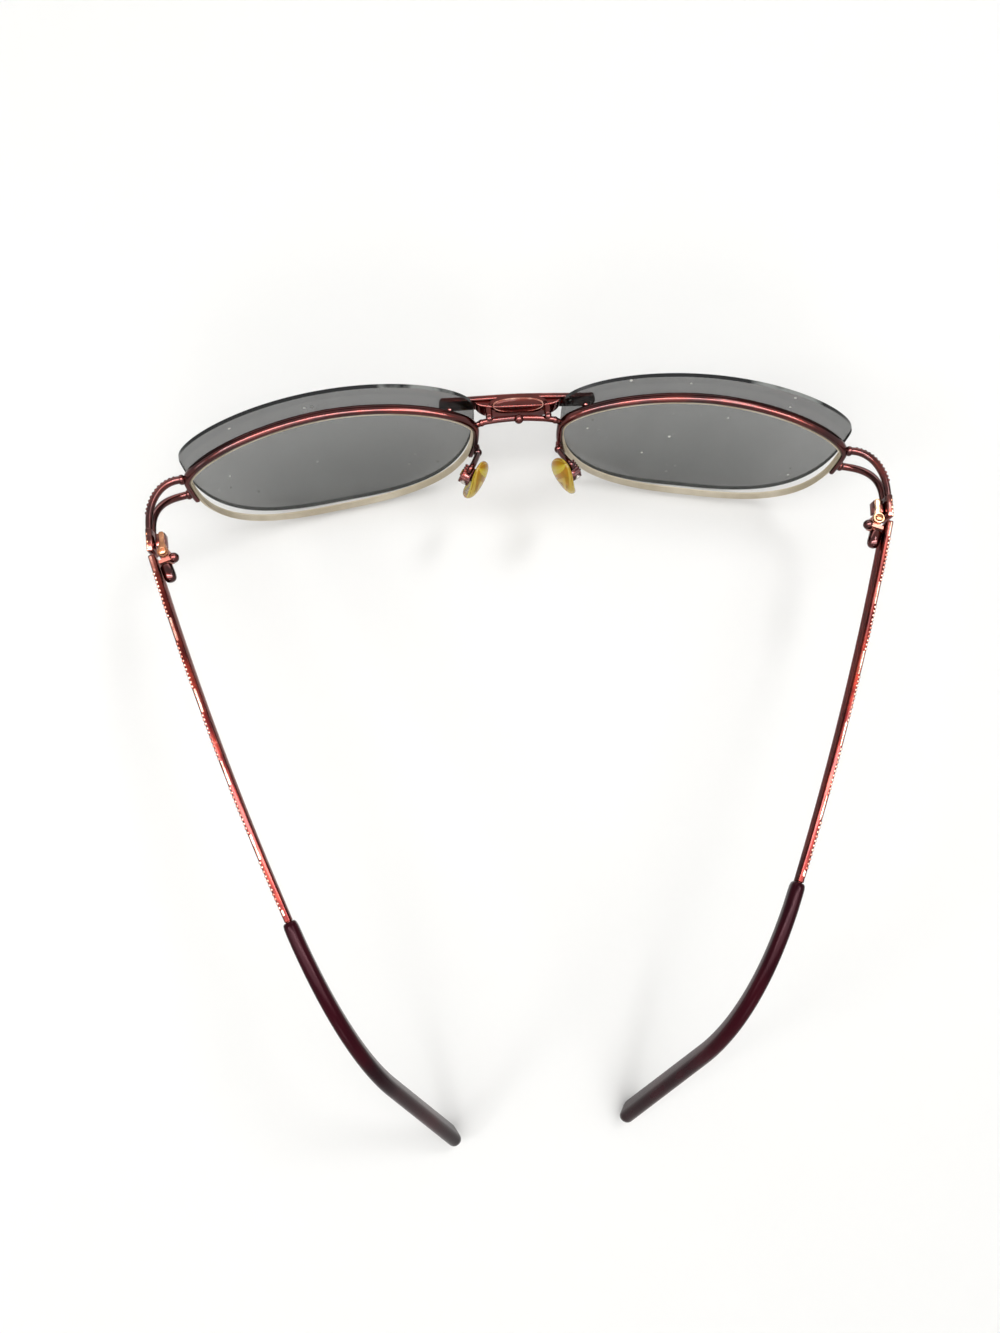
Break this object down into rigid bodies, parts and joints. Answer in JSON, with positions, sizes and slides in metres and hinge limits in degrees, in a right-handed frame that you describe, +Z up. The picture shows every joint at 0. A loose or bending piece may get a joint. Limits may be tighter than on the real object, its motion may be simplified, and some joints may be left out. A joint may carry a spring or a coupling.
{
  "type": "glasses with clip-on lenses",
  "caption": "Semi-rimless metal glasses with nose pads, folding sprung temples and a clip-on pair of tinted lenses that lifts off.",
  "frame": {"origin": "middle of the base, on the surface that the glasses stand on with their lens bottoms and temple tips", "axes": "+X towards the wearer's left, +Y back along the temples, +Z up"},
  "size_m": [0.1314, 0.1394, 0.039],
  "materials": {
    "bridge": "polished wine-red plating",
    "bridge_stud": "polished wine-red plating",
    "clip_bar": "polished wine-red plating",
    "clip_plaque": "polished wine-red plating",
    "clip_magnet": "polished wine-red plating",
    "left_lens": "clear coated",
    "left_eyewire": "polished wine-red plating",
    "left_nylon_cord": "smooth",
    "left_rim_liner": "smooth",
    "left_pad_box": "polished wine-red plating",
    "left_nose_pad": "glossy amber silicone",
    "left_pad_screw": "fine brushed",
    "left_pad_arm": "polished wine-red plating",
    "left_endpiece": "polished wine-red plating",
    "left_hinge_front": "polished rose gold",
    "left_hinge_screw": "polished rose gold",
    "left_hinge_carriage": "polished wine-red plating",
    "left_carriage_nut": "fine brushed",
    "left_hinge_spring": "fine brushed",
    "left_spring_housing": "polished wine-red plating",
    "left_temple_bar": "polished wine-red plating",
    "left_temple_tip": "polished dark wine",
    "left_clip_lens": "grey tint, glossy",
    "left_clip_rivet": "polished wine-red plating",
    "left_clip_hook": "polished wine-red plating",
    "right_lens": "clear coated",
    "right_eyewire": "polished wine-red plating",
    "right_nylon_cord": "smooth",
    "right_rim_liner": "smooth",
    "right_pad_box": "polished wine-red plating",
    "right_nose_pad": "glossy amber silicone",
    "right_pad_screw": "fine brushed",
    "right_pad_arm": "polished wine-red plating",
    "right_endpiece": "polished wine-red plating",
    "right_hinge_front": "polished rose gold",
    "right_hinge_screw": "polished rose gold",
    "right_hinge_carriage": "polished wine-red plating",
    "right_carriage_nut": "fine brushed",
    "right_hinge_spring": "fine brushed",
    "right_spring_housing": "polished wine-red plating",
    "right_temple_bar": "polished wine-red plating",
    "right_temple_tip": "polished dark wine",
    "right_clip_lens": "grey tint, glossy",
    "right_clip_rivet": "polished wine-red plating",
    "right_clip_hook": "polished wine-red plating"
  },
  "bodies": {
    "front": {"bridge": "bridge", "bridge_stud": "bridge_stud", "left_eyewire": "left_eyewire", "left_rim_liner": "left_rim_liner", "left_lens": "left_lens", "left_nylon_cord": "left_nylon_cord", "left_pad_arm": "left_pad_arm", "left_pad_box": "left_pad_box", "left_pad_screw": "left_pad_screw", "left_endpiece": "left_endpiece", "left_hinge_front": "left_hinge_front", "left_hinge_screw": "left_hinge_screw", "right_eyewire": "right_eyewire", "right_rim_liner": "right_rim_liner", "right_lens": "right_lens", "right_nylon_cord": "right_nylon_cord", "right_pad_arm": "right_pad_arm", "right_pad_box": "right_pad_box", "right_pad_screw": "right_pad_screw", "right_endpiece": "right_endpiece", "right_hinge_front": "right_hinge_front", "right_hinge_screw": "right_hinge_screw"},
    "left_carriage": {"left_hinge_carriage": "left_hinge_carriage", "left_carriage_nut": "left_carriage_nut", "left_hinge_spring": "left_hinge_spring"},
    "left_temple": {"left_spring_housing": "left_spring_housing", "left_temple_bar": "left_temple_bar", "left_temple_tip": "left_temple_tip"},
    "left_pad": {"left_nose_pad": "left_nose_pad"},
    "right_carriage": {"right_hinge_carriage": "right_hinge_carriage", "right_carriage_nut": "right_carriage_nut", "right_hinge_spring": "right_hinge_spring"},
    "right_temple": {"right_spring_housing": "right_spring_housing", "right_temple_bar": "right_temple_bar", "right_temple_tip": "right_temple_tip"},
    "right_pad": {"right_nose_pad": "right_nose_pad"},
    "clip_on": {"clip_bar": "clip_bar", "clip_plaque": "clip_plaque", "clip_magnet": "clip_magnet", "left_clip_lens": "left_clip_lens", "left_clip_rivet": "left_clip_rivet", "left_clip_hook": "left_clip_hook", "right_clip_lens": "right_clip_lens", "right_clip_rivet": "right_clip_rivet", "right_clip_hook": "right_clip_hook"}
  },
  "joints": [
    {"name": "left_fold", "type": "hinge", "parent": "front", "child": "left_carriage", "pos_m": [0.06262, -0.04263, 0.02524], "axis": [0, -0.1759, 0.9844], "range_deg": [-14.2, 70.8]},
    {"name": "right_fold", "type": "hinge", "parent": "front", "child": "right_carriage", "pos_m": [-0.06262, -0.04263, 0.02524], "axis": [0, 0.1759, -0.9844], "range_deg": [-16.4, 63.6]},
    {"name": "left_flex", "type": "slide", "parent": "left_carriage", "child": "left_temple", "axis": [-0.3289, 0.9297, 0.1661], "range_m": [0, 0.0005], "stiffness_N_per_m": 1000, "springref_m": -0.0005, "deforming": ["left_hinge_spring"]},
    {"name": "right_flex", "type": "slide", "parent": "right_carriage", "child": "right_temple", "axis": [0.3649, 0.9165, 0.1637], "range_m": [0, 0.0005], "stiffness_N_per_m": 1000, "springref_m": -0.0005, "deforming": ["right_hinge_spring"]},
    {"name": "left_pad_rock", "type": "hinge", "parent": "front", "child": "left_pad", "pos_m": [0.00971, -0.05578, 0.01811], "axis": [0.5, 0.8525, 0.1523], "range_deg": [-8, 8]},
    {"name": "right_pad_rock", "type": "hinge", "parent": "front", "child": "right_pad", "pos_m": [-0.00971, -0.05578, 0.01811], "axis": [-0.5, 0.8525, 0.1523], "range_deg": [-8, 8]},
    {"name": "clip_lift", "type": "slide", "parent": "front", "child": "clip_on", "axis": [0, -0.5318, 0.8469], "range_m": [0, 0.03]}
  ]
}
